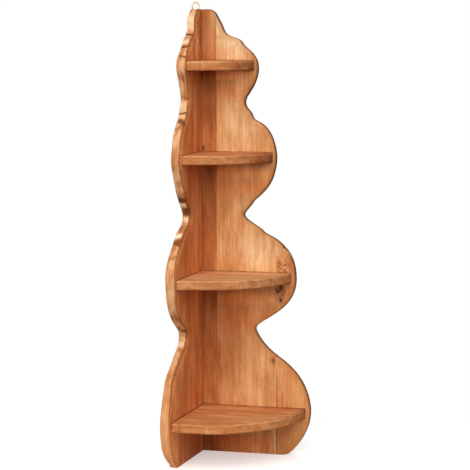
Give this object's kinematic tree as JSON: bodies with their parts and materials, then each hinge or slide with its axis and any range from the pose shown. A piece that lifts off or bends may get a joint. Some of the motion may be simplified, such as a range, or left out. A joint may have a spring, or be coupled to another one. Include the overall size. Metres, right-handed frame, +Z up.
{
  "type": "corner shelf unit",
  "caption": "Tall wooden corner shelf unit: two wavy-edged panels at a right angle, rounded shelves between them and a brass loop at the back corner.",
  "frame": {"origin": "on the floor, under the middle of the unit's bounding box", "axes": "+Z up; +X along the right panel, away from the room corner; -Y along the left panel, away from the room corner, so the back of the right panel faces +Y and the outer face of the left panel faces -X"},
  "size_m": [0.3872, 0.3858, 1.424],
  "materials": {
    "inner_board_wood": "satin, darker honey-brown stain",
    "middle_board_wood": "satin honey stain",
    "outer_board_wood": "satin honey stain, knotty",
    "shelf_wood": "satin orange-brown stain, worn edges",
    "brass": "polished",
    "zinced_steel": "zinc plated"
  },
  "bodies": {
    "root": {"right_panel_inner_board": "inner_board_wood", "right_panel_middle_board": "middle_board_wood", "right_panel_outer_board_1": "outer_board_wood", "right_panel_outer_board_2": "outer_board_wood", "left_panel_inner_board": "inner_board_wood", "left_panel_middle_board": "middle_board_wood", "left_panel_outer_board_1": "outer_board_wood", "left_panel_outer_board_2": "outer_board_wood", "bottom_shelf_rear_board": "shelf_wood", "bottom_shelf_front_board": "shelf_wood", "lower_shelf_rear_board": "shelf_wood", "lower_shelf_front_board": "shelf_wood", "upper_shelf_board": "shelf_wood", "top_shelf_board": "shelf_wood", "loop_plate": "brass", "loop_plate_screw_1": "brass", "loop_plate_screw_2": "brass", "bottom_shelf_right_screw_1": "zinced_steel", "bottom_shelf_right_screw_2": "zinced_steel", "bottom_shelf_left_screw_1": "zinced_steel", "bottom_shelf_left_screw_2": "zinced_steel", "lower_shelf_right_screw_1": "zinced_steel", "lower_shelf_right_screw_2": "zinced_steel", "lower_shelf_left_screw_1": "zinced_steel", "lower_shelf_left_screw_2": "zinced_steel", "upper_shelf_right_screw_1": "zinced_steel", "upper_shelf_right_screw_2": "zinced_steel", "upper_shelf_left_screw_1": "zinced_steel", "upper_shelf_left_screw_2": "zinced_steel", "top_shelf_right_screw_1": "zinced_steel", "top_shelf_right_screw_2": "zinced_steel", "top_shelf_left_screw_1": "zinced_steel", "top_shelf_left_screw_2": "zinced_steel", "corner_screw_1": "zinced_steel", "corner_screw_2": "zinced_steel", "corner_screw_3": "zinced_steel", "corner_screw_4": "zinced_steel", "corner_screw_5": "zinced_steel"}
  },
  "joints": []
}
